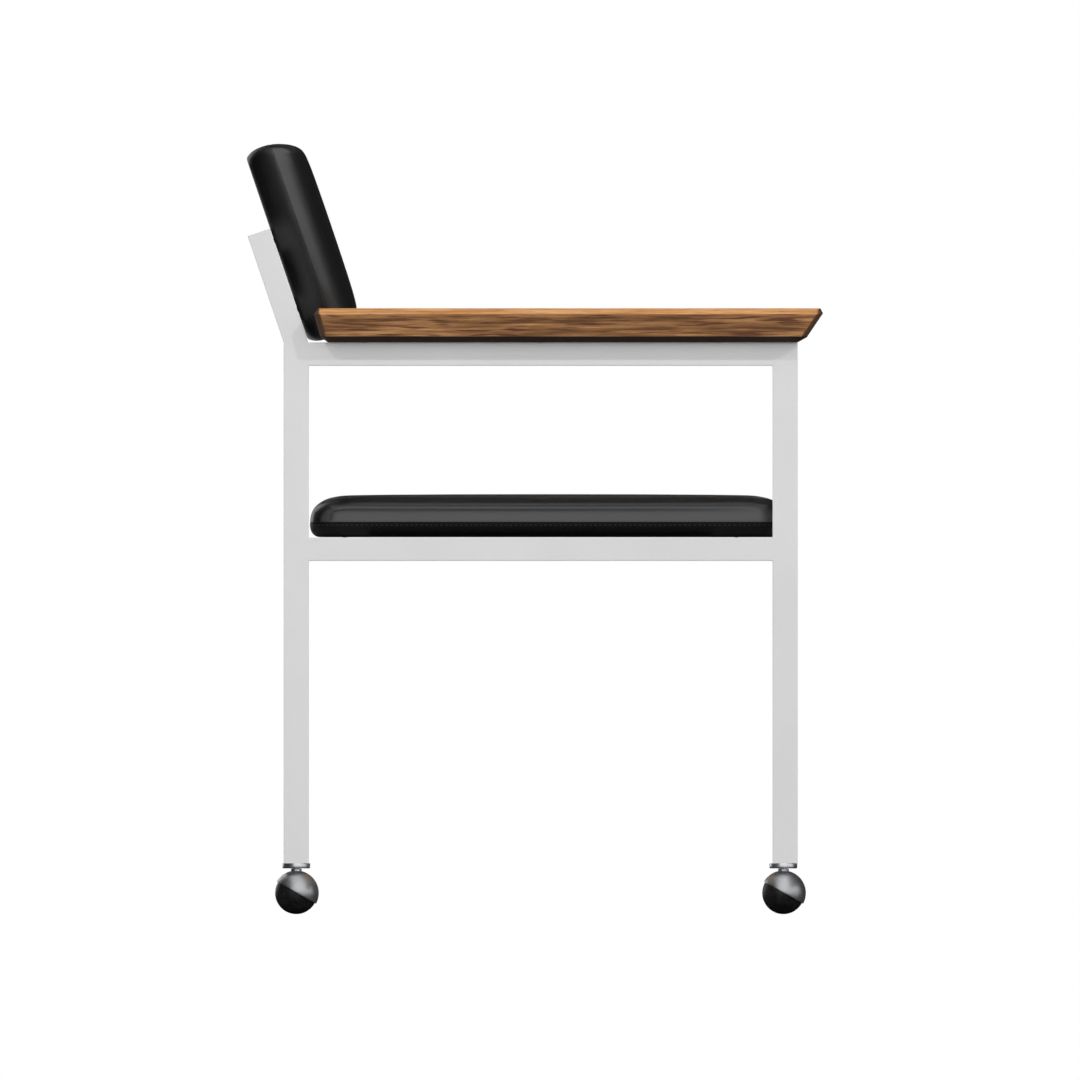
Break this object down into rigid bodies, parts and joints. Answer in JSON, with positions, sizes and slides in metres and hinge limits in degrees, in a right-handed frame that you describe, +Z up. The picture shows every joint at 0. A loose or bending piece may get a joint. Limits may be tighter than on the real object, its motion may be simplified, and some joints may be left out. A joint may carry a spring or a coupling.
{
  "type": "office chair",
  "caption": "Office armchair with a square steel tube frame, black padded seat and tilted back, solid wood armrests with slanted ends, and ball casters that swivel and roll.",
  "frame": {"origin": "on the floor, under the middle of the chair's overall depth and width", "axes": "+X to the chair's front, +Y to the sitter's left, +Z up"},
  "size_m": [0.5803, 0.5934, 0.7753],
  "materials": {
    "grey_paint": "satin",
    "black_vinyl": "satin",
    "oiled_wood": "satin",
    "plywood": "matte",
    "polished_chrome": "polished",
    "black_tread": "satin",
    "black_nylon": "matte",
    "zinc_steel": "satin"
  },
  "bodies": {
    "chair": {"front_leg_left": "grey_paint", "front_leg_right": "grey_paint", "rear_leg_left": "grey_paint", "rear_leg_right": "grey_paint", "arm_rail_left": "grey_paint", "arm_rail_right": "grey_paint", "seat_rail_left": "grey_paint", "seat_rail_right": "grey_paint", "front_cross_rail": "grey_paint", "rear_cross_rail": "grey_paint", "back_post_left": "grey_paint", "back_post_right": "grey_paint", "post_cap_left": "grey_paint", "post_cap_right": "grey_paint", "lower_back_rail": "grey_paint", "upper_back_rail": "grey_paint", "seat_tab_front_left": "grey_paint", "seat_tab_front_right": "grey_paint", "seat_tab_rear_left": "grey_paint", "seat_tab_rear_right": "grey_paint", "seat_board": "plywood", "seat_cushion": "black_vinyl", "seat_screw_front_left": "zinc_steel", "seat_screw_front_right": "zinc_steel", "seat_screw_rear_left": "zinc_steel", "seat_screw_rear_right": "zinc_steel", "back_board": "plywood", "back_cushion": "black_vinyl", "armrest_left": "oiled_wood", "armrest_right": "oiled_wood", "leg_plug_front_left": "black_nylon", "leg_plug_front_right": "black_nylon", "leg_plug_rear_left": "black_nylon", "leg_plug_rear_right": "black_nylon", "socket_front_left": "polished_chrome", "socket_front_right": "polished_chrome", "socket_rear_left": "polished_chrome", "socket_rear_right": "polished_chrome"},
    "caster_swivel_front_left": {"stem_front_left": "polished_chrome", "grip_ring_front_left": "zinc_steel", "hood_front_left": "polished_chrome", "axle_front_left": "zinc_steel"},
    "caster_swivel_front_right": {"stem_front_right": "polished_chrome", "grip_ring_front_right": "zinc_steel", "hood_front_right": "polished_chrome", "axle_front_right": "zinc_steel"},
    "caster_swivel_rear_left": {"stem_rear_left": "polished_chrome", "grip_ring_rear_left": "zinc_steel", "hood_rear_left": "polished_chrome", "axle_rear_left": "zinc_steel"},
    "caster_swivel_rear_right": {"stem_rear_right": "polished_chrome", "grip_ring_rear_right": "zinc_steel", "hood_rear_right": "polished_chrome", "axle_rear_right": "zinc_steel"},
    "caster_wheel_front_left": {"wheel_front_left": "black_tread"},
    "caster_wheel_front_right": {"wheel_front_right": "black_tread"},
    "caster_wheel_rear_left": {"wheel_rear_left": "black_tread"},
    "caster_wheel_rear_right": {"wheel_rear_right": "black_tread"}
  },
  "joints": [
    {"name": "swivel_front_left", "type": "hinge", "parent": "chair", "child": "caster_swivel_front_left", "pos_m": [0.2503, 0.2667, 0.0213], "axis": [0, 0, 1], "continuous": true},
    {"name": "swivel_front_right", "type": "hinge", "parent": "chair", "child": "caster_swivel_front_right", "pos_m": [0.2503, -0.2667, 0.0213], "axis": [0, 0, 1], "continuous": true},
    {"name": "swivel_rear_left", "type": "hinge", "parent": "chair", "child": "caster_swivel_rear_left", "pos_m": [-0.2397, 0.2667, 0.0213], "axis": [0, 0, 1], "continuous": true},
    {"name": "swivel_rear_right", "type": "hinge", "parent": "chair", "child": "caster_swivel_rear_right", "pos_m": [-0.2397, -0.2667, 0.0213], "axis": [0, 0, 1], "continuous": true},
    {"name": "roll_front_left", "type": "hinge", "parent": "caster_swivel_front_left", "child": "caster_wheel_front_left", "pos_m": [0.2503, 0.2667, 0.0213], "axis": [0.4924, 0, 0.8704], "continuous": true},
    {"name": "roll_front_right", "type": "hinge", "parent": "caster_swivel_front_right", "child": "caster_wheel_front_right", "pos_m": [0.2503, -0.2667, 0.0213], "axis": [0.4924, 0, 0.8704], "continuous": true},
    {"name": "roll_rear_left", "type": "hinge", "parent": "caster_swivel_rear_left", "child": "caster_wheel_rear_left", "pos_m": [-0.2397, 0.2667, 0.0213], "axis": [0.4924, 0, 0.8704], "continuous": true},
    {"name": "roll_rear_right", "type": "hinge", "parent": "caster_swivel_rear_right", "child": "caster_wheel_rear_right", "pos_m": [-0.2397, -0.2667, 0.0213], "axis": [0.4924, 0, 0.8704], "continuous": true}
  ]
}
